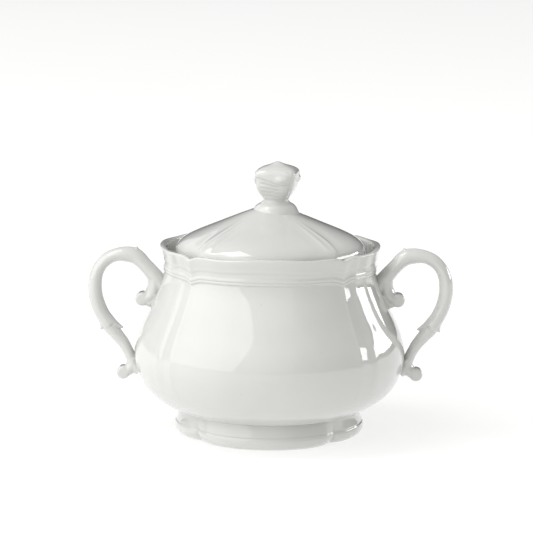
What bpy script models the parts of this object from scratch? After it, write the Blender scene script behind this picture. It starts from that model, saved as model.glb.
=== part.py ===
"""Covered porcelain sugar bowl: a four-panelled bowl on a quatrefoil foot ring,
two scroll handles, and a lift-off conical lid with a square bud knob.

Metres, +Z up, origin on the table under the middle of the foot, handles along X.
"""
import math

import bmesh
import bpy

MM = 0.001

# Driving dimensions
RIM_RADIUS = 50.1 * MM          # outside of the lip, middle of a panel
RIM_HEIGHT = 85.7 * MM
BELLY_RADIUS = 61.2 * MM
BELLY_HEIGHT = 38.0 * MM
NECK_RADIUS = 48.2 * MM
NECK_HEIGHT = 73.8 * MM
BODY_BASE_HEIGHT = 11.3 * MM
WALL = 3.3 * MM
FOOT_RADIUS = 42.9 * MM
FOOT_TOP_RADIUS = 39.4 * MM
FOOT_INNER_RADIUS = 37.0 * MM
MOUTH_RADIUS = 39.6 * MM
LEDGE_HEIGHT = 81.2 * MM
LID_RADIUS = 42.8 * MM
LID_EDGE_HEIGHT = 83.4 * MM
LID_TOP_HEIGHT = 101.2 * MM
LID_WALL = 3.0 * MM
FLANGE_RADIUS = 38.6 * MM
FLANGE_WALL = 2.6 * MM
FLANGE_DEPTH = 9.5 * MM
KNOB_TOP_HEIGHT = 122.8 * MM
KNOB_HALF_DIAGONAL = 11.4 * MM
KNOB_TURN = math.radians(-10)
KNOB_NECK_RADIUS = 6.0 * MM
KNOB_OFFSET = 2.2 * MM          # the knob was set a little to the right of the axis
HANDLE_WIDTH_RATIO = 1.2        # the strap is wider across than it is thick
GAP = 0.3 * MM                  # slip joints between the pieces

# Relief of the panels
RIDGE_RISE = 1.0 * MM           # the fold down each corner of the body
FLUTE_DEPTH = 0.5 * MM
RIM_DROP = 1.2 * MM             # how far the rim dips at a corner
FOOT_PINCH = 2.6 * MM           # the notch between two lobes of the foot
LID_RIB_RISE = 0.5 * MM
LID_POINT_REACH = 0.9 * MM      # the point of the lid's edge at a corner
OUTSIDE_FROM = 41.0 * MM        # the relief is on the wall's outer face only
OUTSIDE_WHOLE = 46.0 * MM

# The corners between the panels stand a little behind the diagonals
CORNER_SHIFT = math.radians(2)
PANELS = 4

BOWL_SEGMENTS = 64
FLANGE_SEGMENTS = 48
KNOB_SEGMENTS = 32

PORCELAIN = (0.80, 0.81, 0.79, 1.0)
UNGLAZED = (0.78, 0.76, 0.71, 1.0)


def clear_scene():
    for existing in list(bpy.data.objects):
        bpy.data.objects.remove(existing, do_unlink=True)


def new_collection(name):
    collection = bpy.data.collections.new(name)
    bpy.context.scene.collection.children.link(collection)
    return collection


def porcelain(name, colour=PORCELAIN, roughness=0.12):
    material = bpy.data.materials.new(name)
    material.use_nodes = True
    shader = material.node_tree.nodes["Principled BSDF"]
    shader.inputs["Base Color"].default_value = colour
    shader.inputs["Roughness"].default_value = roughness
    shader.inputs["Metallic"].default_value = 0.0
    return material


def bell(value, centre, width):
    return math.exp(-((value - centre) / width) ** 2)


def blend(value, low, high):
    """Rises smoothly from 0 at low to 1 at high."""
    t = min(max((value - low) / (high - low), 0.0), 1.0)
    return t * t * (3 - 2 * t)


def from_corner(angle):
    """Distance from the nearest corner: 0 on it, 1 in the middle of a panel."""
    panel = 2 * math.pi / PANELS
    return abs((angle - panel / 2) / panel - round((angle - panel / 2) / panel)) * 2


def place_on_panels(bm, reach):
    """Moves a turned shape's points out and up by reach(share, radius, height)."""
    for vert in bm.verts:
        radius = math.hypot(vert.co.x, vert.co.y)
        if radius < 1e-6:
            continue
        angle = math.atan2(vert.co.y, vert.co.x)
        out, up = reach(from_corner(angle), radius, vert.co.z)
        angle += CORNER_SHIFT * math.sin(2 * angle)
        vert.co.x = (radius + out) * math.cos(angle)
        vert.co.y = (radius + out) * math.sin(angle)
        vert.co.z += up


def turned(profile, segments, closed=False):
    """Spins a profile of (radius, height) about Z, as a mesh with its ends merged."""
    bm = bmesh.new()
    verts = [bm.verts.new((radius, 0, height)) for radius, height in profile]
    pairs = list(zip(verts, verts[1:]))
    if closed:
        pairs.append((verts[-1], verts[0]))
    edges = [bm.edges.new(pair) for pair in pairs]
    bmesh.ops.spin(bm, geom=verts + edges, cent=(0, 0, 0), axis=(0, 0, 1),
                   angle=2 * math.pi, steps=segments, use_merge=True)
    bmesh.ops.remove_doubles(bm, verts=bm.verts[:], dist=1e-6)
    bmesh.ops.recalc_face_normals(bm, faces=bm.faces[:])
    return bm


def finish(bm, name, collection, material, sharp=35):
    mesh = bpy.data.meshes.new(name)
    bm.to_mesh(mesh)
    bm.free()
    mesh.materials.append(material)
    mesh.shade_smooth()
    mesh.set_sharp_from_angle(angle=math.radians(sharp))
    piece = bpy.data.objects.new(name, mesh)
    collection.objects.link(piece)
    return piece


def smooth_through(points, steps):
    """A Catmull-Rom curve through the points, with steps stretches between two."""
    ends = [points[0]] + list(points) + [points[-1]]
    result = []
    for before, start, end, after in zip(ends, ends[1:], ends[2:], ends[3:]):
        for step in range(steps):
            t = step / steps
            weights = ((-t + 2 * t * t - t ** 3) / 2, (2 - 5 * t * t + 3 * t ** 3) / 2,
                       (t + 4 * t * t - 3 * t ** 3) / 2, (t ** 3 - t * t) / 2)
            corners = (before, start, end, after)
            result.append(tuple(sum(w * c[i] for w, c in zip(weights, corners))
                                for i in range(len(start))))
    return result + [tuple(points[-1])]


# The bowl's outside from under the belly to the neck, as (radius, height)
BODY_CURVE = [
    (43.8 * MM, 12.0 * MM),
    (51.9 * MM, 16.6 * MM),
    (57.9 * MM, 23.1 * MM),
    (BELLY_RADIUS - 0.4 * MM, BELLY_HEIGHT - 6.5 * MM),
    (BELLY_RADIUS, BELLY_HEIGHT),
    (59.3 * MM, 46.4 * MM),
    (54.4 * MM, 56.0 * MM),
    (50.2 * MM, 66.0 * MM),
    (NECK_RADIUS, NECK_HEIGHT),
]


def inset(curve, depth):
    """The curve moved inwards, square to itself."""
    moved = []
    for index, (radius, height) in enumerate(curve):
        before = curve[max(index - 1, 0)]
        after = curve[min(index + 1, len(curve) - 1)]
        along = (after[0] - before[0], after[1] - before[1])
        length = math.hypot(*along)
        moved.append((radius - depth * along[1] / length, height + depth * along[0] / length))
    return moved


def bowl_outside(steps):
    base = [(0, BODY_BASE_HEIGHT), (FOOT_TOP_RADIUS, BODY_BASE_HEIGHT)]
    band = [
        (NECK_RADIUS + 0.7 * MM, NECK_HEIGHT + 1.0 * MM),
        (NECK_RADIUS + 0.3 * MM, NECK_HEIGHT + 1.8 * MM),
        (NECK_RADIUS + 0.8 * MM, NECK_HEIGHT + 2.6 * MM),
        (RIM_RADIUS - 0.9 * MM, RIM_HEIGHT - 5.9 * MM),
        (RIM_RADIUS - 0.4 * MM, RIM_HEIGHT - 5.5 * MM),
        (RIM_RADIUS, RIM_HEIGHT - 1.4 * MM),
        (RIM_RADIUS - 0.5 * MM, RIM_HEIGHT - 0.3 * MM),
    ]
    return base + smooth_through(BODY_CURVE, steps) + band


def bowl_inside():
    lip = [
        (RIM_RADIUS - 1.5 * MM, RIM_HEIGHT),
        (RIM_RADIUS - 2.7 * MM, RIM_HEIGHT - 0.5 * MM),
        (RIM_RADIUS - 3.2 * MM, RIM_HEIGHT - 1.6 * MM),
        (RIM_RADIUS - 3.4 * MM, LEDGE_HEIGHT),
        (MOUTH_RADIUS + 0.6 * MM, LEDGE_HEIGHT),
        (MOUTH_RADIUS, LEDGE_HEIGHT - 0.7 * MM),
        (MOUTH_RADIUS, LEDGE_HEIGHT - 3.0 * MM),
    ]
    well = inset(BODY_CURVE, WALL)[-2:0:-1]
    floor = [(40.0 * MM, BODY_BASE_HEIGHT + WALL + 0.6 * MM), (0, BODY_BASE_HEIGHT + WALL)]
    return lip + well + floor


def panel_shape(share, radius, height):
    """Ridges at the corners of the body, with a flute each side and a soft middle dip."""
    outside = blend(radius, OUTSIDE_FROM, OUTSIDE_WHOLE)
    rise = blend(height, BODY_BASE_HEIGHT, BELLY_HEIGHT)
    neck = blend(height, BELLY_HEIGHT, NECK_HEIGHT)
    ridge = RIDGE_RISE * bell(share, 0, 0.10) * rise
    flute = -FLUTE_DEPTH * bell(share, 0.28, 0.16) * rise
    dip = -FLUTE_DEPTH * bell(share, 1, 0.35) * neck
    drop = -RIM_DROP * bell(share, 0, 0.2) * blend(height, NECK_HEIGHT - 7 * MM, NECK_HEIGHT)
    return (ridge + flute + dip) * outside, drop * outside


def make_bowl_body(collection):
    bm = turned(bowl_outside(2) + bowl_inside(), BOWL_SEGMENTS)
    place_on_panels(bm, panel_shape)
    return finish(bm, "bowl_body", collection, porcelain("bowl_glaze"))


def quatrefoil(share, radius, height):
    """The foot's four lobes: the ring is pinched inwards at the corners."""
    outside = blend(radius, FOOT_INNER_RADIUS - 0.5 * MM, FOOT_RADIUS)
    fade = 1 - 0.7 * blend(height, 4 * MM, BODY_BASE_HEIGHT)
    return -FOOT_PINCH * math.exp(-share / 0.2) * outside * fade, 0


def make_foot_ring(collection):
    top = BODY_BASE_HEIGHT - GAP
    profile = [
        (FOOT_TOP_RADIUS - 0.4 * MM, top),
        (FOOT_TOP_RADIUS + 0.5 * MM, top - 2.2 * MM),
        (FOOT_RADIUS - 1.1 * MM, 6.4 * MM),
        (FOOT_RADIUS - 0.2 * MM, 4.8 * MM),
        (FOOT_RADIUS, 3.0 * MM),
        (FOOT_RADIUS - 0.6 * MM, 1.1 * MM),
        (FOOT_RADIUS - 2.0 * MM, 0),
        (FOOT_INNER_RADIUS + 1.2 * MM, 0),
        (FOOT_INNER_RADIUS, 1.2 * MM),
        (FOOT_INNER_RADIUS - 1.0 * MM, top),
    ]
    bm = turned(profile, BOWL_SEGMENTS, closed=True)
    place_on_panels(bm, quatrefoil)
    return finish(bm, "foot_ring", collection, porcelain("foot_porcelain", UNGLAZED, 0.3))


# The lid's upper side, from the flat seat of the knob out to the edge
LID_CURVE = [
    (8.6 * MM, LID_TOP_HEIGHT),
    (14.7 * MM, 99.0 * MM),
    (24.0 * MM, 94.9 * MM),
    (33.5 * MM, 90.8 * MM),
    (38.6 * MM, 88.2 * MM),
    (41.6 * MM, 85.8 * MM),
    (LID_RADIUS, LID_EDGE_HEIGHT),
]


def lid_under_height(radius):
    """Height of the dome's underside: a cone a wall's thickness below the top."""
    slope = (LID_TOP_HEIGHT - 90.8 * MM) / (33.5 * MM - 8.6 * MM)
    return LID_TOP_HEIGHT - LID_WALL - slope * max(radius - 8.6 * MM, 0)


def lid_shape(share, radius, height):
    """A pair of ribs runs down each corner of the lid and fades towards the knob."""
    spread = blend(radius, 14 * MM, 36 * MM)
    top = blend(height, lid_under_height(radius) + 1 * MM, lid_under_height(radius) + 2.4 * MM)
    rib = LID_RIB_RISE * (bell(share, 0, 0.10) - 0.6 * bell(share, 0.3, 0.16))
    edge = LID_POINT_REACH * (bell(share, 0, 0.10) - 0.45 * bell(share, 0.3, 0.18))
    return edge * blend(radius, FLANGE_RADIUS, LID_RADIUS), rib * spread * top


def make_lid_shell(collection):
    rest = LEDGE_HEIGHT + GAP
    inner = [
        (LID_RADIUS - 0.5 * MM, rest + 0.5 * MM),
        (LID_RADIUS - 1.3 * MM, rest),
        (FLANGE_RADIUS + 0.3 * MM, rest),
    ]
    under = [(radius, lid_under_height(radius))
             for radius in (36.2 * MM, 24.0 * MM, 8.6 * MM, 0)]
    profile = [(0, LID_TOP_HEIGHT)] + LID_CURVE + inner + under
    bm = turned(profile, BOWL_SEGMENTS)
    place_on_panels(bm, lid_shape)
    return finish(bm, "lid_shell", collection, porcelain("lid_glaze"))


def make_lid_flange(collection):
    """The locating ring under the lid: it hangs inside the mouth of the bowl."""
    outer = FLANGE_RADIUS - 2.9 * MM
    inner = outer - FLANGE_WALL
    bottom = LEDGE_HEIGHT - FLANGE_DEPTH
    profile = [
        (outer, lid_under_height(outer) - GAP),
        (FLANGE_RADIUS - 0.4 * MM, LEDGE_HEIGHT),
        (FLANGE_RADIUS - 0.4 * MM, bottom + 1.0 * MM),
        (FLANGE_RADIUS - 1.1 * MM, bottom),
        (FLANGE_RADIUS - FLANGE_WALL, bottom),
        (FLANGE_RADIUS - FLANGE_WALL - 0.5 * MM, bottom + 0.7 * MM),
        (FLANGE_RADIUS - FLANGE_WALL - 0.5 * MM, LEDGE_HEIGHT),
        (inner, lid_under_height(inner) - GAP),
    ]
    bm = turned(profile, FLANGE_SEGMENTS, closed=True)
    return finish(bm, "lid_flange", collection, porcelain("flange_glaze"))


def square_section(angle, height):
    """Share of the half diagonal: round at the collar, square with soft corners above."""
    square = 0.8 / max(abs(math.cos(angle)), abs(math.sin(angle)))
    corner = min(square, 1.0)
    amount = blend(height, 104 * MM, 110 * MM)
    return 1 - amount + amount * corner


def make_lid_knob(collection):
    base = LID_TOP_HEIGHT + GAP
    profile = [
        (0, base),
        (KNOB_NECK_RADIUS + 2.0 * MM, base),
        (KNOB_NECK_RADIUS + 2.9 * MM, base + 0.9 * MM),
        (KNOB_NECK_RADIUS + 2.1 * MM, base + 2.1 * MM),
        (KNOB_NECK_RADIUS, base + 4.4 * MM),
        (KNOB_NECK_RADIUS + 1.6 * MM, KNOB_TOP_HEIGHT - 14.0 * MM),
        (KNOB_HALF_DIAGONAL - 2.0 * MM, KNOB_TOP_HEIGHT - 10.6 * MM),
        (KNOB_HALF_DIAGONAL - 0.6 * MM, KNOB_TOP_HEIGHT - 7.2 * MM),
        (KNOB_HALF_DIAGONAL, KNOB_TOP_HEIGHT - 5.2 * MM),
        (KNOB_HALF_DIAGONAL - 0.8 * MM, KNOB_TOP_HEIGHT - 3.4 * MM),
        (KNOB_HALF_DIAGONAL - 4.6 * MM, KNOB_TOP_HEIGHT - 1.5 * MM),
        (3.0 * MM, KNOB_TOP_HEIGHT - 0.4 * MM),
        (0, KNOB_TOP_HEIGHT),
    ]
    bm = turned(profile, KNOB_SEGMENTS)
    for vert in bm.verts:
        radius = math.hypot(vert.co.x, vert.co.y)
        angle = math.atan2(vert.co.y, vert.co.x)
        radius *= square_section(angle + math.pi / 4, vert.co.z)
        turned_angle = angle + KNOB_TURN + math.pi / 4
        vert.co.x = KNOB_OFFSET + radius * math.cos(turned_angle)
        vert.co.y = radius * math.sin(turned_angle)
    return finish(bm, "lid_knob", collection, porcelain("knob_glaze"))


# One handle's scrolls as (reach, height, half thickness), from the body outwards
HANDLE_STRAP = [
    (46.0, 62.0, 4.0), (51.3, 69.2, 3.6), (56.5, 74.7, 3.1), (60.0, 77.8, 3.2),
    (64.3, 79.7, 3.5), (69.3, 79.6, 3.0), (73.4, 77.8, 2.9), (76.7, 74.4, 2.8),
    (78.6, 70.2, 3.0), (79.2, 65.8, 3.2), (78.9, 61.4, 3.2), (77.8, 57.0, 3.2),
    (75.8, 52.6, 3.4), (72.6, 48.0, 3.8), (69.2, 43.3, 3.1), (66.5, 39.6, 2.6),
    (64.4, 36.0, 2.5), (62.6, 32.4, 2.5), (58.5, 27.6, 2.6),
]
HANDLE_UPPER_CURL = [
    (60.5, 59.4, 1.0), (59.0, 59.6, 2.6), (57.0, 60.2, 3.3),
    (54.2, 62.0, 3.6), (52.0, 65.5, 3.8), (52.4, 70.0, 4.0),
]
HANDLE_LOWER_CURL = [
    (69.1, 26.0, 1.0), (68.0, 26.0, 2.5), (66.2, 26.2, 3.1), (63.8, 27.6, 3.1), (61.4, 30.8, 2.8),
]
HANDLE_OUTER_LEAF = [(75.6, 52.4, 3.2), (74.6, 48.8, 3.0), (74.9, 46.6, 2.2), (76.2, 45.2, 0.6)]
HANDLE_INNER_LEAF = [(73.5, 52.5, 3.0), (70.9, 49.4, 2.6), (68.6, 47.2, 1.7), (66.7, 46.2, 0.5)]
HANDLE_THORN = [(60.6, 78.4, 3.0), (60.5, 80.9, 1.9), (60.0, 83.0, 0.6)]


def swept(name, route, side, steps):
    """A rail along the route, as a mesh with welded ends, on one side of the bowl."""
    curve = bpy.data.curves.new(name, "CURVE")
    curve.dimensions = "3D"
    curve.bevel_depth = 1.0 * MM
    curve.bevel_resolution = 2
    curve.use_fill_caps = True
    points = smooth_through(route, steps)
    spline = curve.splines.new("POLY")
    spline.points.add(len(points) - 1)
    for point, (reach, height, half) in zip(spline.points, points):
        point.co = (side * reach * MM, 0, height * MM, 1)
        point.radius = half
    guide = bpy.data.objects.new(name, curve)
    bpy.context.scene.collection.objects.link(guide)
    evaluated = guide.evaluated_get(bpy.context.evaluated_depsgraph_get())
    mesh = bpy.data.meshes.new_from_object(evaluated)
    bpy.data.objects.remove(guide)
    bm = bmesh.new()
    bm.from_mesh(mesh)
    bmesh.ops.remove_doubles(bm, verts=bm.verts[:], dist=1e-6)
    for vert in bm.verts:
        vert.co.y *= HANDLE_WIDTH_RATIO
    bmesh.ops.recalc_face_normals(bm, faces=bm.faces[:])
    bm.to_mesh(mesh)
    bm.free()
    return mesh


def cutter(mesh, name, collection):
    piece = bpy.data.objects.new(name, mesh)
    collection.objects.link(piece)
    piece.hide_render = True
    piece.display_type = "WIRE"
    return piece


def make_bowl_cutter(collection):
    """The body's outside, a gap larger, to trim the ends of the handles."""
    grown = [(radius + GAP, height) for radius, height in bowl_outside(2)[1:]]
    profile = [(0, grown[0][1] - GAP)] + grown + [(0, RIM_HEIGHT + GAP)]
    bm = turned(profile, BOWL_SEGMENTS)
    place_on_panels(bm, panel_shape)
    mesh = bpy.data.meshes.new("body_cutter")
    bm.to_mesh(mesh)
    bm.free()
    return cutter(mesh, "body_cutter", collection)


def combine(piece, tool, operation):
    modifier = piece.modifiers.new(tool.name, "BOOLEAN")
    modifier.operation = operation
    modifier.solver = "EXACT"
    modifier.object = tool


def make_handle(name, side, collection, cutters, body_cutter):
    piece = bpy.data.objects.new(name, swept(name, HANDLE_STRAP, side, 2))
    collection.objects.link(piece)
    extras = (("upper_curl", HANDLE_UPPER_CURL), ("lower_curl", HANDLE_LOWER_CURL),
              ("outer_leaf", HANDLE_OUTER_LEAF), ("inner_leaf", HANDLE_INNER_LEAF),
              ("thorn", HANDLE_THORN))
    for label, route in extras:
        tool = cutter(swept(name + "_" + label, route, side, 2), name + "_" + label, cutters)
        combine(piece, tool, "UNION")
    combine(piece, body_cutter, "DIFFERENCE")
    piece.data.materials.clear()
    piece.data.materials.append(porcelain(name + "_glaze"))
    piece.data.shade_smooth()
    return piece


def main():
    clear_scene()
    parts = new_collection("sugar_bowl")
    cutters = new_collection("cutters")
    make_bowl_body(parts)
    make_foot_ring(parts)
    body_cutter = make_bowl_cutter(cutters)
    make_handle("left_handle", -1, parts, cutters, body_cutter)
    make_handle("right_handle", 1, parts, cutters, body_cutter)
    make_lid_shell(parts)
    make_lid_flange(parts)
    make_lid_knob(parts)


main()
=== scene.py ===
"""Looks of the covered porcelain sugar bowl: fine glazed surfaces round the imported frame."""
import math

import bmesh
import bpy
import numpy as np
from mathutils import Matrix, Vector


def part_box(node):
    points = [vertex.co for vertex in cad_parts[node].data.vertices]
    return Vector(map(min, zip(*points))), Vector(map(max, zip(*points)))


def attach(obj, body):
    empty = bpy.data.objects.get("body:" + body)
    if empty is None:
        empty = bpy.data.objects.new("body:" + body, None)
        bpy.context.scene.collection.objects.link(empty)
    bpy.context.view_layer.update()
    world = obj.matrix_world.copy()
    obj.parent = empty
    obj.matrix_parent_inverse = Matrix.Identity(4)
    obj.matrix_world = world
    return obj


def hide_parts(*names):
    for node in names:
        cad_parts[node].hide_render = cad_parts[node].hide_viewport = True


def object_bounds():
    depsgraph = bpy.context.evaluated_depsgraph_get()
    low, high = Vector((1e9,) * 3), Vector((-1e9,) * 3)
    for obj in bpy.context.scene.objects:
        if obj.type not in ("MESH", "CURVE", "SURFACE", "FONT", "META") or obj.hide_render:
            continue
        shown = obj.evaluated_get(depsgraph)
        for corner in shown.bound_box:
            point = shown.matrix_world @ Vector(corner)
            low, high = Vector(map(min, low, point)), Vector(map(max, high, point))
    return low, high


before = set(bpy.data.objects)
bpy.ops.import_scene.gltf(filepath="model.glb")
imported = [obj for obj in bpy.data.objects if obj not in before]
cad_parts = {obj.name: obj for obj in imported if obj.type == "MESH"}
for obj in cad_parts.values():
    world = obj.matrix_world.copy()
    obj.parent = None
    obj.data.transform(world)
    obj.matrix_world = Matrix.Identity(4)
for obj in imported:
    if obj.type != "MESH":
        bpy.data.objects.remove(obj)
cad_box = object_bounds()

# One millimetre of the object, read from the frame's own height
OVERALL_HEIGHT_MM = 122.8
MM = cad_box[1].z / OVERALL_HEIGHT_MM

BODY_BASE_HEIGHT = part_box("bowl_body")[0].z
LID_TOP_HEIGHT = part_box("lid_shell")[1].z
LID_REST_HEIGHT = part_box("lid_shell")[0].z
FLANGE_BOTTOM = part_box("lid_flange")[0].z
KNOB_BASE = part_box("lid_knob")[0].z
KNOB_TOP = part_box("lid_knob")[1].z
KNOB_CENTRE_X = (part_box("lid_knob")[0].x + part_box("lid_knob")[1].x) / 2

BELLY_RADIUS = 61.2 * MM
BELLY_HEIGHT = 38.0 * MM
NECK_RADIUS = 48.2 * MM
NECK_HEIGHT = 73.8 * MM
WALL = 3.3 * MM
FOOT_RADIUS = 42.9 * MM
FOOT_INNER_RADIUS = 37.0 * MM
LID_RADIUS = 42.8 * MM
LID_EDGE_HEIGHT = 83.4 * MM
LID_WALL = 3.0 * MM
KNOB_SEAT_RADIUS = 8.6 * MM     # the lid is flat inside this, and a cone outside it
LID_CONE_RADIUS = 33.5 * MM     # a point on the cone's upper side
LID_CONE_HEIGHT = 90.8 * MM
KNOB_TURN = math.radians(-10)

# The corners between the panels, and the notches of the foot, stand off the diagonals
PANELS = 4
CORNER_SHIFT = math.radians(2)
FOOT_SHIFT = math.radians(-3.5)
FOOT_TURN = math.radians(-1.0)
FINE_SEGMENTS = 560             # the bowl's folds are narrow, so it takes more than the rest


# ---------------------------------------------------------------- shaping

def bell(value, centre, width):
    return np.exp(-((value - centre) / width) ** 2)


def crest(value, width):
    """1 at 0, falling off in a sharp fold."""
    return np.exp(-(np.abs(value) / width) ** 1.3)


def blend(value, low, high):
    t = np.clip((value - low) / (high - low), 0.0, 1.0)
    return t * t * (3 - 2 * t)


def from_corner(angle):
    """Share of the way from the nearest corner, 0, to the middle of a panel, 1."""
    panel = 2 * math.pi / PANELS
    turns = (angle - panel / 2) / panel
    return np.abs(turns - np.round(turns)) * 2


def smooth_through(points, steps):
    """A Catmull-Rom curve through the points, with steps stretches between two."""
    ends = [points[0]] + list(points) + [points[-1]]
    result = []
    for before, start, end, after in zip(ends, ends[1:], ends[2:], ends[3:]):
        for step in range(steps):
            t = step / steps
            weights = ((-t + 2 * t * t - t ** 3) / 2, (2 - 5 * t * t + 3 * t ** 3) / 2,
                       (t + 4 * t * t - 3 * t ** 3) / 2, (t ** 3 - t * t) / 2)
            corners = (before, start, end, after)
            result.append(tuple(sum(w * c[i] for w, c in zip(weights, corners))
                                for i in range(len(start))))
    return result + [tuple(points[-1])]


def relaxed(points, rounds=40):
    """The same curve with its bends evened out; its ends stay."""
    line = np.array(points)
    for _ in range(rounds):
        line[1:-1] = (line[:-2] + 2 * line[1:-1] + line[2:]) / 4
    return [tuple(point) for point in line]


def rounded(points, steps=4):
    """A line through (radius, height, fillet) corners in millimetres, each corner eased."""
    result = []
    for index, (x, z, fillet) in enumerate(points):
        corner = Vector((x, z))
        if index in (0, len(points) - 1) or fillet == 0:
            result.append((x * MM, z * MM))
            continue
        before = Vector(points[index - 1][:2])
        after = Vector(points[index + 1][:2])
        reach_in = min(fillet, (before - corner).length * 0.48)
        reach_out = min(fillet, (after - corner).length * 0.48)
        start = corner + (before - corner).normalized() * reach_in
        end = corner + (after - corner).normalized() * reach_out
        for step in range(steps + 1):
            t = step / steps
            point = start * (1 - t) ** 2 + corner * 2 * t * (1 - t) + end * t * t
            result.append((point.x * MM, point.y * MM))
    return result


def inset(curve, depth):
    """The curve moved inwards, square to itself."""
    moved = []
    for index, (radius, height) in enumerate(curve):
        before = curve[max(index - 1, 0)]
        after = curve[min(index + 1, len(curve) - 1)]
        along = Vector((after[0] - before[0], after[1] - before[1])).normalized()
        moved.append((radius - depth * along.y, height + depth * along.x))
    return moved


def add_mesh(name, verts, faces):
    mesh = bpy.data.meshes.new(name)
    mesh.from_pydata(verts, [], faces)
    bm = bmesh.new()
    bm.from_mesh(mesh)
    bmesh.ops.remove_doubles(bm, verts=bm.verts[:], dist=1e-7)
    bmesh.ops.recalc_face_normals(bm, faces=bm.faces[:])
    bm.to_mesh(mesh)
    bm.free()
    mesh.shade_smooth()
    piece = bpy.data.objects.new(name, mesh)
    bpy.context.scene.collection.objects.link(piece)
    return piece


def lathe(name, profile, shape, segments=384, closed=False):
    """Turns (radius, height) points round Z, each moved by shape(angle, radius, height)."""
    angles = np.arange(segments) * 2 * math.pi / segments
    rings = []
    for radius, height in profile:
        new_radius, new_height, new_angle = shape(angles, radius, height)
        ring = np.stack([new_radius * np.cos(new_angle), new_radius * np.sin(new_angle),
                         new_height + 0 * angles], axis=1)
        rings.append(ring)
    verts = np.concatenate(rings)
    faces = []
    pairs = [(i, i + 1) for i in range(len(profile) - 1)]
    if closed:
        pairs.append((len(profile) - 1, 0))
    for low, high in pairs:
        for k in range(segments):
            after = (k + 1) % segments
            faces.append((low * segments + k, low * segments + after,
                          high * segments + after, high * segments + k))
    return add_mesh(name, verts.tolist(), faces)


# ---------------------------------------------------------------- bowl

BODY_CURVE = [
    (43.8 * MM, 12.0 * MM),
    (51.9 * MM, 16.6 * MM),
    (57.9 * MM, 23.1 * MM),
    (BELLY_RADIUS - 0.4 * MM, BELLY_HEIGHT - 6.5 * MM),
    (BELLY_RADIUS, BELLY_HEIGHT),
    (59.3 * MM, 46.4 * MM),
    (54.4 * MM, 56.0 * MM),
    (50.4 * MM, 65.6 * MM),
    (48.7 * MM, 70.2 * MM),
    (NECK_RADIUS, NECK_HEIGHT),
]


def panel_shape(angle, radius, height):
    """A sharp and a soft fold with a flute between them down each corner, and a scalloped rim."""
    share = from_corner(angle)
    to_handle = share * np.sign(np.abs(np.cos(angle)) - np.abs(np.sin(angle)))
    outside = blend(radius, 41 * MM, 46 * MM)
    rise = blend(height, 14 * MM, 38 * MM)
    upper = blend(height, 50 * MM, 75 * MM)
    fold = (0.32 * crest(share, 0.034) + 0.24 * bell(to_handle, 0.21, 0.06)) * MM * rise
    flute = (-0.16 * bell(to_handle, 0.11, 0.05) - 0.1 * bell(to_handle, -0.13, 0.08)) * MM * rise
    dip = -0.5 * MM * bell(share, 1, 0.35) * upper
    drop = -1.8 * MM * crest(share, 0.09) * blend(height, 69 * MM, 75 * MM)
    wave = (0.1 * bell(share, 1, 0.3) - 0.55 * bell(share, 0.45, 0.25)) * MM
    wave = wave * blend(height, 72 * MM, 84 * MM)
    return (radius + (fold + flute + dip) * outside, height + (drop + wave) * outside,
            angle + CORNER_SHIFT * np.sin(2 * angle))


def make_bowl_body():
    base = rounded([(0, 11.3, 0), (39.4, 11.3, 0.3)])
    belly = relaxed(smooth_through(BODY_CURVE, 10))
    band = rounded([
        (48.2, 73.8, 0), (48.25, 74.1, 0.6), (48.65, 74.5, 0.7), (48.6, 75.2, 0.5),
        (48.45, 75.45, 0.5), (48.8, 75.9, 0.7), (48.75, 76.7, 0.8), (48.5, 77.4, 1.2),
        (48.6, 79.2, 1.0), (49.0, 80.0, 0.9), (49.2, 81.5, 1.2),
        (49.9, 84.0, 1.6), (50.1, 85.4, 1.1), (48.9, 85.8, 1.2), (47.5, 85.5, 1.2),
        (47.0, 85.1, 0.8), (46.8, 83.6, 0.8), (46.5, 77.4, 1.2), (44.2, 77.4, 1.0),
        (43.6, 81.2, 0.4), (40.2, 81.2, 0.6),
        (39.6, 80.6, 0.6), (39.6, 78.2, 1.0), (43.0, 75.0, 2.5)])
    well = inset(relaxed(smooth_through(BODY_CURVE, 6)), WALL)[-4:1:-1]
    floor = rounded([(40.0, 15.2, 0), (30.0, 14.6, 4), (0, 14.6, 0)])
    return lathe("bowl_porcelain", base + belly + band[1:] + well + floor, panel_shape,
                 segments=FINE_SEGMENTS)


def quatrefoil(angle, radius, height):
    """Four lobes: the ring is pinched in at the notches, and lifted off the table there."""
    share = from_corner(angle)
    outside = blend(radius, FOOT_INNER_RADIUS - 0.5 * MM, FOOT_RADIUS)
    fade = 1 - 0.7 * blend(height, 4 * MM, BODY_BASE_HEIGHT)
    pinch = -2.7 * MM * np.exp(-share / 0.2) * outside * fade
    lift = 2.3 * MM * np.exp(-share / 0.12) * outside * (1 - blend(height, 0, 6 * MM))
    return (radius + pinch, height + lift,
            angle + FOOT_SHIFT * np.sin(2 * angle) + FOOT_TURN)


def make_foot():
    profile = rounded([
        (36.4, 11.4, 0), (40.5, 11.4, 0.3), (40.9, 9.6, 1.2), (41.6, 7.6, 1.2),
        (42.1, 6.3, 0.4), (42.2, 5.9, 0.3), (42.7, 5.4, 0.6), (43.1, 3.8, 1.4),
        (42.5, 1.6, 1.3), (40.4, 0, 1.2), (38.2, 0, 0.8), (37.0, 1.2, 0.8), (36.2, 11.4, 0)])
    return lathe("foot_porcelain", profile, quatrefoil, closed=True)


# ---------------------------------------------------------------- lid

LID_CURVE = [
    (8.6 * MM, 101.2 * MM),
    (14.7 * MM, 98.9 * MM),
    (24.0 * MM, 95.1 * MM),
    (33.5 * MM, 91.2 * MM),
    (38.6 * MM, 88.6 * MM),
    (41.8 * MM, 85.8 * MM),
    (LID_RADIUS, LID_EDGE_HEIGHT),
]


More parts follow.
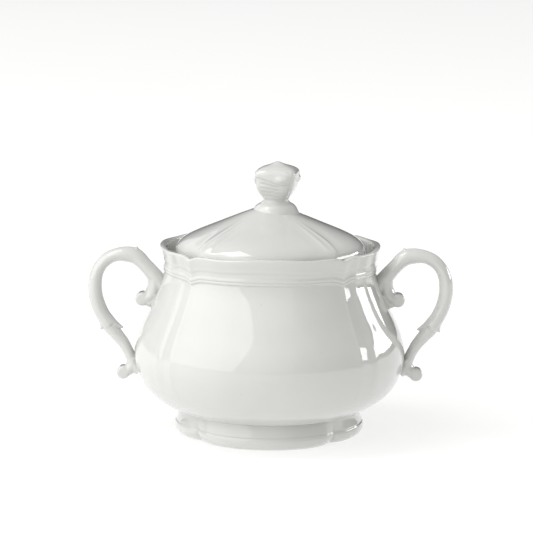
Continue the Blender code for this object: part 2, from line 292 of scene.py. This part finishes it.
def lid_under_height(radius):
    """Height of the dome's underside: a cone a wall's thickness below the top."""
    slope = (LID_TOP_HEIGHT - LID_CONE_HEIGHT) / (LID_CONE_RADIUS - KNOB_SEAT_RADIUS)
    return LID_TOP_HEIGHT - LID_WALL - slope * np.maximum(radius - KNOB_SEAT_RADIUS, 0)


def lid_shape(angle, radius, height):
    """A flat rib runs down each corner, between two soft edges, out to a point at the rim."""
    share = from_corner(angle)
    across = share * math.pi / PANELS * radius
    top = blend(height, lid_under_height(radius) + 1 * MM, lid_under_height(radius) + 2.4 * MM)
    spread = blend(radius, 12 * MM, 36 * MM)
    half = (1.6 + 1.2 * spread) * MM
    rib = 0.46 * MM * (1 - blend(across, half - 1.0 * MM, half + 1.0 * MM))
    groove = -0.3 * MM * bell(across, 0, 1.2 * MM)
    flute = -0.2 * MM * bell(across, half + 3.0 * MM, 2.8 * MM)
    edge = 0.9 * MM * crest(share, 0.09) - 0.35 * MM * bell(share, 0.28, 0.16)
    return (radius + edge * blend(radius, 38 * MM, LID_RADIUS),
            height + (rib + groove + flute) * spread * top,
            angle + CORNER_SHIFT * np.sin(2 * angle))


def make_lid():
    rest = LID_REST_HEIGHT / MM
    edge = rounded([(42.8, 83.4, 0), (42.9, 82.3, 0.8), (42.2, rest, 0.8), (39.0, rest, 0)])
    under = [(radius * MM, float(lid_under_height(radius * MM)))
             for radius in (36.2, 30.0, 24.0, 16.0, 8.6, 0)]
    top = relaxed(smooth_through(LID_CURVE, 12), 20)
    profile = [(0, LID_TOP_HEIGHT)] + top + edge[1:] + under
    return lathe("lid_porcelain", profile, lid_shape)


def plain(angle, radius, height):
    """No relief."""
    return radius + 0 * angle, height, angle


def make_flange():
    top_in = float(lid_under_height(33.1 * MM)) / MM - 0.2
    top_out = float(lid_under_height(35.7 * MM)) / MM - 0.2
    low = FLANGE_BOTTOM / MM
    profile = rounded([
        (35.7, top_out, 0), (38.2, 81.2, 1.0), (38.2, low + 1.0, 0.5), (37.4, low, 0.7),
        (36.2, low, 0.7), (35.5, low + 0.8, 0.5), (35.5, 81.2, 1.0), (33.1, top_in, 0)])
    return lathe("flange_porcelain", profile, plain, segments=192, closed=True)


# ---------------------------------------------------------------- knob

# (radius, height) in millimetres: the flare over the lid, the neck, the bud and its cap
KNOB_CURVE = [
    (11.3, 99.0), (10.7, 99.9), (10.2, 100.8), (9.6, 101.9), (8.9, 102.9), (7.9, 103.7),
    (6.7, 104.4), (5.9, 105.2), (5.8, 106.0), (6.4, 107.1), (7.3, 108.5), (8.1, 110.2), (8.7, 112.0),
    (9.0, 113.8), (9.2, 115.3), (9.25, 116.6), (9.2, 117.8), (8.9, 118.8), (8.0, 119.8), (6.3, 120.7),
    (4.2, 121.4), (2.3, 122.1), (1.0, 122.65), (0, 122.8),
]
KNOB_LEAN = 0.9 * MM


def knob_shape(angle, radius, height):
    """A four-sided bud: a hood curls over each face from a corner tip, above fine ripples."""
    square = 4.0
    sides = (np.abs(np.cos(angle)) ** square + np.abs(np.sin(angle)) ** square) ** (-1 / square)
    bud = blend(height, 104.8 * MM, 110.5 * MM) * (1 - 0.75 * blend(height, 119 * MM, 122.6 * MM))
    wide = 1 + (sides - 1) * bud
    corner = blend(sides, 1.08, 1.2)
    along = np.mod((angle + 3 * math.pi / 4) * 2 / math.pi, 1)
    curl = np.cos(math.pi * along / 0.85)
    curl = curl + (1 - curl) * blend(along, 0.94, 1.0)
    lip = (114.8 + 1.5 * curl) * MM
    hood = 0.34 * MM * blend(height, lip - 0.4 * MM, lip + 0.4 * MM)
    hood = hood * (1 - blend(height, lip + 1.5 * MM, lip + 5 * MM))
    bulge = 0.6 * MM * bell(along, 0.74, 0.17) * bell(height, 115.2 * MM, 1.5 * MM)
    tip = 0.4 * MM * corner * bell(height, 117.8 * MM, 1.2 * MM)
    broad = np.abs(np.sin(angle)) > np.abs(np.cos(angle))
    shown = broad * blend(along, 0.05, 0.2) * (1 - blend(along, 0.6, 0.9))
    ripples = 0
    for step in range(4):
        line = (112.9 - 1.7 * step + (0.8 - 0.2 * step) * curl) * MM
        ripples = ripples - 0.3 * MM * bell(height, line, 0.5 * MM) * shown
    new_radius = np.where(radius > 1e-9, radius * wide + hood + bulge + tip + ripples, 0)
    return new_radius, height, angle + KNOB_TURN


def make_knob():
    profile = [(radius * MM, height * MM) for radius, height in smooth_through(KNOB_CURVE, 8)]
    piece = lathe("knob_porcelain", [(0, profile[0][1])] + profile, knob_shape)
    for vert in piece.data.vertices:
        lean = KNOB_LEAN * (vert.co.z - KNOB_BASE) / (KNOB_TOP - KNOB_BASE)
        vert.co.x += KNOB_CENTRE_X + lean
    return piece


# ---------------------------------------------------------------- handles

# (reach, height, half thickness, half width) in millimetres, from the body outwards
STRAP = [
    (48.0, 64.5, 3.8, 4.8), (51.3, 69.2, 3.6, 4.8), (56.3, 75.0, 3.2, 4.5), (60.4, 78.9, 3.6, 4.2),
    (64.6, 79.9, 3.5, 4.0), (69.3, 79.6, 3.0, 3.8), (73.4, 77.8, 2.9, 3.7), (76.7, 74.4, 2.8, 3.6),
    (78.6, 70.2, 3.0, 3.6), (79.2, 65.8, 3.2, 3.7), (78.9, 61.4, 3.2, 3.8), (77.8, 57.0, 3.2, 3.9),
    (76.0, 52.8, 3.2, 4.1), (74.0, 49.6, 3.3, 4.4), (72.5, 47.6, 3.4, 4.3),
]
STEM = [
    (73.6, 49.5, 2.8, 3.4), (72.3, 46.9, 3.4, 3.7), (70.3, 44.2, 3.0, 3.6), (68.4, 41.9, 2.8, 3.5),
    (66.3, 39.3, 2.6, 3.4), (64.4, 36.0, 2.4, 3.4), (62.7, 32.4, 2.5, 3.5), (61.0, 29.0, 3.0, 3.8),
    (58.6, 26.8, 3.0, 4.0),
]
OUTER_LEAF = [
    (76.2, 52.6, 2.4, 3.4), (75.4, 48.9, 2.1, 3.0), (75.9, 46.7, 1.2, 2.0), (76.8, 45.2, 0.3, 0.7),
]
INNER_LEAF = [
    (75.2, 54.0, 1.6, 2.8), (72.2, 49.7, 1.9, 3.0), (69.6, 47.7, 1.3, 2.2), (66.4, 46.2, 0.3, 0.7),
]
THORN = [(60.9, 80.0, 2.6, 3.4), (60.5, 82.0, 1.3, 2.2), (59.8, 83.4, 0.3, 0.7)]
UPPER_CURL = [
    (51.5, 70.5, 4.0, 4.8), (51.9, 65.6, 3.6, 4.6), (53.3, 61.8, 3.6, 4.3),
    (55.6, 60.2, 3.1, 4.0), (57.6, 59.9, 2.7, 3.6),
]
UPPER_CURL_ROOT = [(50.5, 62.0, 3.0, 4.4), (53.0, 58.6, 2.8, 4.0), (56.0, 58.6, 2.0, 3.4)]
LOWER_CURL = [
    (61.8, 33.0, 2.6, 3.5), (62.2, 29.4, 2.9, 3.6), (64.0, 26.9, 2.7, 3.5), (66.3, 26.0, 2.5, 3.3),
]
# (reach, height, radius, half width) of the two scroll ends
SCROLLS = [(57.6, 59.9, 3.15, 3.7), (66.3, 25.95, 3.05, 3.4)]
RING_POINTS = 32
SECTION_ROUNDNESS = 1.8
HANDLE_SUNK = 1.6 * MM          # how deep the handles' ends stand in the wall
RIGHT_HANDLE_RAISED = 0.9 * MM  # the photographed handles aren't quite level


def ring_faces(rings):
    """Quads between closed rings of RING_POINTS points, and a lid on each end."""
    faces = []
    for ring in range(rings - 1):
        for k in range(RING_POINTS):
            after = (k + 1) % RING_POINTS
            faces.append((ring * RING_POINTS + k, ring * RING_POINTS + after,
                          (ring + 1) * RING_POINTS + after, (ring + 1) * RING_POINTS + k))
    last = (rings - 1) * RING_POINTS
    faces.append(tuple(range(RING_POINTS)))
    faces.append(tuple(last + k for k in reversed(range(RING_POINTS))))
    return faces


def sweep(route, side, steps=8):
    """A closed rail with an oval section that has a soft ridge down each side."""
    points = np.array(smooth_through(route, steps))
    along = np.gradient(points[:, :2], axis=0)
    along /= np.linalg.norm(along, axis=1)[:, None]
    turn = np.arange(RING_POINTS) * 2 * math.pi / RING_POINTS
    power = SECTION_ROUNDNESS
    lobes = (np.abs(np.cos(turn)) ** power + np.abs(np.sin(turn)) ** power) ** (-1 / power)
    verts = []
    for (reach, height, half, width), (ahead, rise) in zip(points, along):
        for t, lobe in zip(turn, lobes):
            offset = half * lobe * math.cos(t)
            verts.append((side * (reach - rise * offset) * MM, width * lobe * math.sin(t) * MM,
                          (height + ahead * offset) * MM))
    return verts, ring_faces(len(points))


def scroll(reach, height, radius, width, side):
    """The round end of a scroll: a short drum across the handle with eased edges."""
    profile = ((0.3, 1.0), (0.75, 0.97), (0.93, 0.85), (1.0, 0.6), (1.0, 0.0))
    profile += tuple((out, -across) for out, across in reversed(profile[:-1]))
    turn = np.arange(RING_POINTS) * 2 * math.pi / RING_POINTS
    verts = [(side * (reach + radius * out * math.cos(t)) * MM, width * across * MM,
              (height + radius * out * math.sin(t)) * MM)
             for out, across in profile for t in turn]
    return verts, ring_faces(len(profile))


def wall_radius(height):
    """Outer radius of the bowl at a height, without its relief."""
    curve = np.array(BODY_CURVE)
    return np.interp(height, curve[:, 1], curve[:, 0])


def make_handle(name, side, raised=0.0):
    """Rails and scrolls fused into one skin, whose ends stay inside the bowl's wall."""
    shapes = [sweep(route, side) for route in
              (STRAP, STEM, OUTER_LEAF, INNER_LEAF, THORN, UPPER_CURL, UPPER_CURL_ROOT, LOWER_CURL)]
    shapes += [scroll(*end, side) for end in SCROLLS]
    verts, faces = [], []
    for more_verts, more_faces in shapes:
        faces += [tuple(index + len(verts) for index in face) for face in more_faces]
        verts += more_verts
    piece = add_mesh(name, verts, faces)
    remesh = piece.modifiers.new("join", "REMESH")
    remesh.mode = "VOXEL"
    remesh.voxel_size = 0.3 * MM
    soften = piece.modifiers.new("soften", "SMOOTH")
    soften.factor = 0.5
    soften.iterations = 10
    graph = bpy.context.evaluated_depsgraph_get()
    fused = bpy.data.meshes.new_from_object(piece.evaluated_get(graph))
    piece.modifiers.clear()
    piece.data = fused
    for vert in fused.vertices:
        vert.co.z += raised
        radius = math.hypot(vert.co.x, vert.co.y)
        least = wall_radius(vert.co.z) - HANDLE_SUNK
        if radius < least:
            vert.co.x *= least / radius
            vert.co.y *= least / radius
    fused.shade_smooth()
    return piece


# ---------------------------------------------------------------- materials

def node(tree, kind, **values):
    made = tree.nodes.new(kind)
    for name, value in values.items():
        made.inputs[name].default_value = value
    return made


def porcelain(name, clear, painted_crease_shade, bare_below=None):
    """White porcelain under a glossy glaze: painted shade darkens its hollows, its tint drifts and it
    ripples faintly.
    """
    material = bpy.data.materials.new(name)
    material.use_nodes = True
    tree = material.node_tree
    shader = tree.nodes["Principled BSDF"]
    shader.inputs["IOR"].default_value = 1.52
    shader.inputs["Specular IOR Level"].default_value = 0.12
    shader.inputs["Coat Weight"].default_value = 1.0
    shader.inputs["Coat Roughness"].default_value = 0.04
    shader.inputs["Subsurface Weight"].default_value = 0.08
    shader.inputs["Subsurface Radius"].default_value = (1.0, 0.9, 0.8)
    shader.inputs["Subsurface Scale"].default_value = 0.0012
    place = tree.nodes.new("ShaderNodeTexCoord")

    drift = node(tree, "ShaderNodeTexNoise", Scale=28.0, Detail=3.0, Roughness=0.5)
    tree.links.new(place.outputs["Object"], drift.inputs["Vector"])
    hollows = tree.nodes.new("ShaderNodeNewGeometry")
    # Painted shade: where pointiness marks a hollow, the colour moves towards the darker, slightly
    # greener crease colour
    crease_shade_mask = node(tree, "ShaderNodeMapRange", **{"From Min": 0.44, "From Max": 0.53, "To Max": 0.7})
    tree.links.new(hollows.outputs["Pointiness"], crease_shade_mask.inputs["Value"])
    wobble = node(tree, "ShaderNodeMath")
    wobble.operation = "MULTIPLY_ADD"
    wobble.inputs[1].default_value = 0.5
    tree.links.new(drift.outputs["Fac"], wobble.inputs[0])
    tree.links.new(crease_shade_mask.outputs["Result"], wobble.inputs[2])
    tint = tree.nodes.new("ShaderNodeValToRGB")
    tint.color_ramp.elements[0].color = painted_crease_shade
    tint.color_ramp.elements[0].position = 0.25
    tint.color_ramp.elements[1].color = clear
    tint.color_ramp.elements[1].position = 0.75
    tree.links.new(wobble.outputs["Value"], tint.inputs["Fac"])

    specks = node(tree, "ShaderNodeTexVoronoi", Scale=95.0, Randomness=1.0)
    tree.links.new(place.outputs["Object"], specks.inputs["Vector"])
    pin = node(tree, "ShaderNodeMapRange", **{"From Min": 0.018, "From Max": 0.03,
                                             "To Min": 0.82, "To Max": 1.0})
    tree.links.new(specks.outputs["Distance"], pin.inputs["Value"])
    speckled = tree.nodes.new("ShaderNodeVectorMath")
    speckled.operation = "SCALE"
    tree.links.new(tint.outputs["Color"], speckled.inputs[0])
    tree.links.new(pin.outputs["Result"], speckled.inputs["Scale"])

    gloss = node(tree, "ShaderNodeTexNoise", Scale=60.0, Detail=4.0, Roughness=0.6)
    tree.links.new(place.outputs["Object"], gloss.inputs["Vector"])
    polish = node(tree, "ShaderNodeMapRange", **{"To Min": 0.02, "To Max": 0.07})
    tree.links.new(gloss.outputs["Fac"], polish.inputs["Value"])

    ripple = node(tree, "ShaderNodeTexNoise", Scale=75.0, Detail=2.0, Roughness=0.45)
    tree.links.new(place.outputs["Object"], ripple.inputs["Vector"])
    bump = node(tree, "ShaderNodeBump", Strength=0.15, Distance=0.0001)
    tree.links.new(ripple.outputs["Fac"], bump.inputs["Height"])
    tree.links.new(bump.outputs["Normal"], shader.inputs["Normal"])

    colour, rough = speckled.outputs["Vector"], polish.outputs["Result"]
    if bare_below is not None:
        colour, rough = bare_edge(tree, place, colour, rough, bare_below)
    tree.links.new(colour, shader.inputs["Base Color"])
    tree.links.new(rough, shader.inputs["Roughness"])
    return material


def bare_edge(tree, place, colour, rough, height):
    """Wiped free of glaze under a height: chalky, warmer and matt."""
    parts = tree.nodes.new("ShaderNodeSeparateXYZ")
    tree.links.new(place.outputs["Object"], parts.inputs["Vector"])
    ragged = node(tree, "ShaderNodeTexNoise", Scale=220.0, Detail=3.0)
    tree.links.new(place.outputs["Object"], ragged.inputs["Vector"])
    edge = node(tree, "ShaderNodeMath")
    edge.operation = "MULTIPLY_ADD"
    edge.inputs[1].default_value = 0.0004
    tree.links.new(ragged.outputs["Fac"], edge.inputs[0])
    tree.links.new(parts.outputs["Z"], edge.inputs[2])
    bare = node(tree, "ShaderNodeMapRange", **{"From Min": height, "From Max": height + 0.00025,
                                              "To Min": 1.0, "To Max": 0.0})
    tree.links.new(edge.outputs["Value"], bare.inputs["Value"])
    clay = tree.nodes.new("ShaderNodeMix")
    clay.data_type = "RGBA"
    clay.inputs["B"].default_value = (0.70, 0.66, 0.58, 1)
    tree.links.new(bare.outputs["Result"], clay.inputs["Factor"])
    tree.links.new(colour, clay.inputs["A"])
    matt = tree.nodes.new("ShaderNodeMix")
    matt.inputs["B"].default_value = 0.62
    tree.links.new(bare.outputs["Result"], matt.inputs["Factor"])
    tree.links.new(rough, matt.inputs["A"])
    return clay.outputs["Result"], matt.outputs["Result"]


# ---------------------------------------------------------------- studio

# Name, azimuth and elevation in degrees, distance and (width, height) in metres, radiance
LIGHTS = [
    ("key_left", -60, 27, 4.0, (5.6, 3.8), 1.6),
    ("back_left", -128, 18, 4.0, (4.6, 2.6), 0.5),
    ("front", 0, 22, 4.0, (3.4, 2.6), 0.3),
    ("overhead", -80, 62, 3.0, (1.3, 1.3), 4.6),
    ("window_right", 116, 10, 2.0, (1.3, 0.42), 6.5),
]


def softbox(name, azimuth, elevation, distance, size, radiance):
    """A rectangular light that faces the bowl; azimuth 0 is at the camera's side, 90 on the right."""
    a, e = math.radians(azimuth), math.radians(elevation)
    target = Vector((0, 0, 0.05))
    away = Vector((math.sin(a) * math.cos(e), -math.cos(a) * math.cos(e), math.sin(e)))
    light = bpy.data.lights.new(name, "AREA")
    light.shape = "RECTANGLE"
    light.size, light.size_y = size
    light.energy = radiance * size[0] * size[1] * math.pi
    lamp = bpy.data.objects.new(name, light)
    lamp.location = target + away * distance
    lamp.rotation_mode = "QUATERNION"
    lamp.rotation_quaternion = away.to_track_quat("Z", "Y")
    bpy.context.scene.collection.objects.link(lamp)


def make_floor():
    """A grey sheet that glows, so that it comes out as the white ground of the photograph."""
    mesh = bpy.data.meshes.new("floor")
    reach = 40.0
    mesh.from_pydata([(-reach, -reach, 0), (reach, -reach, 0), (reach, reach, 0), (-reach, reach, 0)],
                     [], [(0, 1, 2, 3)])
    floor = bpy.data.objects.new("floor", mesh)
    bpy.context.scene.collection.objects.link(floor)
    material = bpy.data.materials.new("paper")
    material.use_nodes = True
    tree = material.node_tree
    shader = tree.nodes["Principled BSDF"]
    shader.inputs["Base Color"].default_value = (0.34, 0.34, 0.335, 1)
    shader.inputs["Specular IOR Level"].default_value = 0.1
    shader.inputs["Emission Color"].default_value = (1, 1, 1, 1)
    shader.inputs["Emission Strength"].default_value = 0.69
    grain = node(tree, "ShaderNodeTexNoise", Scale=300.0, Detail=3.0)
    tooth = node(tree, "ShaderNodeMapRange", **{"To Min": 0.8, "To Max": 0.95})
    tree.links.new(grain.outputs["Fac"], tooth.inputs["Value"])
    tree.links.new(tooth.outputs["Result"], shader.inputs["Roughness"])
    mesh.materials.append(material)


def make_world():
    """A pale room: bright overhead and on the camera's side, dimmer round the horizon."""
    world = bpy.data.worlds.new("studio")
    world.use_nodes = True
    tree = world.node_tree
    background = tree.nodes["Background"]
    background.inputs["Color"].default_value = (1.0, 1.0, 0.99, 1)
    place = tree.nodes.new("ShaderNodeTexCoord")
    parts = tree.nodes.new("ShaderNodeSeparateXYZ")
    tree.links.new(place.outputs["Generated"], parts.inputs["Vector"])
    overhead = node(tree, "ShaderNodeMapRange", **{"From Min": 0.08, "From Max": 0.8,
                                                   "To Min": 0.06, "To Max": 0.6})
    overhead.interpolation_type = "SMOOTHSTEP"
    tree.links.new(parts.outputs["Z"], overhead.inputs["Value"])
    ahead = node(tree, "ShaderNodeMapRange", **{"From Min": 0.1, "From Max": 0.9,
                                                "To Min": 0.0, "To Max": 0.38})
    ahead.interpolation_type = "SMOOTHSTEP"
    facing = tree.nodes.new("ShaderNodeVectorMath")
    facing.operation = "DOT_PRODUCT"
    facing.inputs[1].default_value = (-0.5, -0.86, 0)
    tree.links.new(place.outputs["Generated"], facing.inputs[0])
    tree.links.new(facing.outputs["Value"], ahead.inputs["Value"])
    both = node(tree, "ShaderNodeMath")
    tree.links.new(overhead.outputs["Result"], both.inputs[0])
    tree.links.new(ahead.outputs["Result"], both.inputs[1])
    tree.links.new(both.outputs["Value"], background.inputs["Strength"])
    bpy.context.scene.world = world


def make_camera():
    """A long lens a metre away, a little above the rim."""
    distance = 1.0
    target_height = 0.055
    elevation = math.radians(10.42)
    pitch = math.radians(9.28)
    yaw = -0.0017
    roll = math.radians(0.45)
    turn = math.radians(2.0)
    place = Vector((0, -distance * math.cos(elevation),
                    target_height + distance * math.sin(elevation)))
    ahead = Vector((math.sin(yaw) * math.cos(pitch), math.cos(yaw) * math.cos(pitch),
                    -math.sin(pitch)))
    right = ahead.cross(Vector((0, 0, 1))).normalized()
    up = right.cross(ahead)
    axes = Matrix((right * math.cos(roll) + up * math.sin(roll),
                   up * math.cos(roll) - right * math.sin(roll), -ahead)).transposed()
    lens = bpy.data.cameras.new("camera")
    lens.sensor_width = 36.0
    lens.lens = 149.5
    camera = bpy.data.objects.new("camera", lens)
    camera.matrix_world = (Matrix.Rotation(turn, 4, "Z") @ Matrix.Translation(place)
                           @ axes.to_4x4())
    bpy.context.scene.collection.objects.link(camera)
    bpy.context.scene.camera = camera


def main():
    clear = (0.635, 0.635, 0.616, 1)
    # Painted shade for creases and hollows, slightly greener than the clear glaze
    painted_crease_shade = (0.51, 0.52, 0.495, 1)
    glaze = porcelain("glaze", clear, painted_crease_shade)
    foot_glaze = porcelain("foot_glaze", clear, painted_crease_shade, bare_below=0.0004)
    pieces = [
        (make_bowl_body(), "bowl", "bowl_body", "body_glaze", glaze),
        (make_foot(), "bowl", "foot_ring", "foot_glaze", foot_glaze),
        (make_handle("left_handle_porcelain", -1), "bowl", "left_handle", "handle_glaze", glaze),
        (make_handle("right_handle_porcelain", 1, RIGHT_HANDLE_RAISED), "bowl", "right_handle",
         "handle_glaze", glaze),
        (make_lid(), "lid", "lid_shell", "lid_glaze", glaze),
        (make_flange(), "lid", "lid_flange", "flange_glaze", glaze),
        (make_knob(), "lid", "lid_knob", "knob_glaze", glaze),
    ]
    for piece, body, cad_node, slot, material in pieces:
        piece.data.materials.clear()
        piece.data.materials.append(material)
        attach(piece, body)
        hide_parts(cad_node)
    make_floor()
    make_world()
    make_camera()
    for light in LIGHTS:
        softbox(*light)
    bpy.context.scene.view_settings.view_transform = "Standard"


main()
